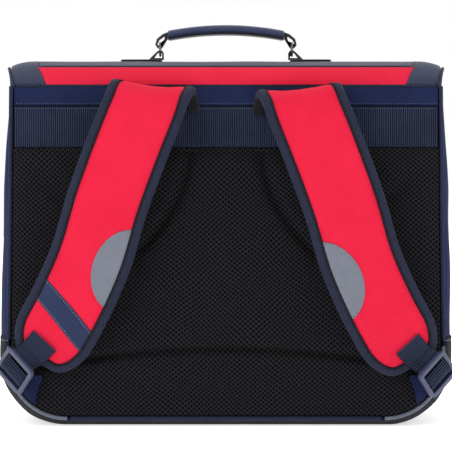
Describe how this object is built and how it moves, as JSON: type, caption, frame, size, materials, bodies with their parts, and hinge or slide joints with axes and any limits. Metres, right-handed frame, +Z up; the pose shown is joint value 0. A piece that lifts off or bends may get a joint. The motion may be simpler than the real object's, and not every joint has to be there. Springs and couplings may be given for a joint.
{
  "type": "school satchel",
  "caption": "Upright school satchel with a padded mesh back, two padded shoulder straps, an arched flap and a tilting top handle.",
  "frame": {"origin": "centre of the flat base, on the surface that the satchel stands on", "axes": "+Z up, +X to the right and +Y away from the wearer's back, seen from the padded side"},
  "size_m": [0.4142, 0.2272, 0.361],
  "materials": {
    "red_cloth": "woven polyester, matt",
    "navy_cloth": "woven polyester, matt",
    "black_mesh": "airy spacer mesh, matt",
    "black_cloth": "rough woven cloth, matt",
    "navy_webbing": "ribbed webbing, matt",
    "navy_binding": "woven edge tape, matt",
    "grey_reflective": "reflective film on cloth, satin",
    "navy_leather": "smooth coated leather, satin",
    "navy_plastic": "moulded acetal, semi-gloss",
    "black_plastic": "moulded, satin",
    "dark_steel": "bent wire, polished"
  },
  "bodies": {
    "satchel": {"gusset": "navy_cloth", "cloth_band": "navy_cloth", "flap_panel": "navy_cloth", "flap_trim": "navy_cloth", "corner_tab_left": "navy_cloth", "corner_tab_right": "navy_cloth", "strap_label_left": "navy_cloth", "piping_left": "navy_cloth", "piping_bottom": "navy_cloth", "piping_right": "navy_cloth", "piping_front": "navy_cloth", "base_cover": "black_cloth", "back_board": "black_cloth", "front_panel": "red_cloth", "flap_red_panel": "red_cloth", "strap_pad_left": "red_cloth", "strap_pad_right": "red_cloth", "back_pad": "black_mesh", "webbing_band": "navy_webbing", "strap_tab_left": "navy_webbing", "strap_tab_right": "navy_webbing", "lower_webbing_left": "navy_webbing", "lower_webbing_right": "navy_webbing", "flap_binding": "navy_binding", "strap_binding_left": "navy_binding", "strap_binding_right": "navy_binding", "reflective_piping_left": "grey_reflective", "reflective_piping_right": "grey_reflective", "strap_reflector_left": "grey_reflective", "strap_reflector_right": "grey_reflective", "flap_corner_left": "navy_leather", "flap_corner_right": "navy_leather", "buckle_left": "navy_plastic", "buckle_right": "navy_plastic", "clasp_left": "black_plastic", "clasp_right": "black_plastic", "handle_plate_left": "black_plastic", "handle_plate_right": "black_plastic", "base_eye_left": "black_plastic", "base_eye_right": "black_plastic"},
    "handle": {"grip": "navy_leather", "grip_eye_left": "black_plastic", "grip_eye_right": "black_plastic", "ring_left": "dark_steel", "ring_right": "dark_steel"}
  },
  "joints": [
    {"name": "handle_tilt", "type": "hinge", "parent": "satchel", "child": "handle", "pos_m": [0, 0, 0.3389], "axis": [1, 0, 0], "range_deg": [-75, 75]}
  ]
}
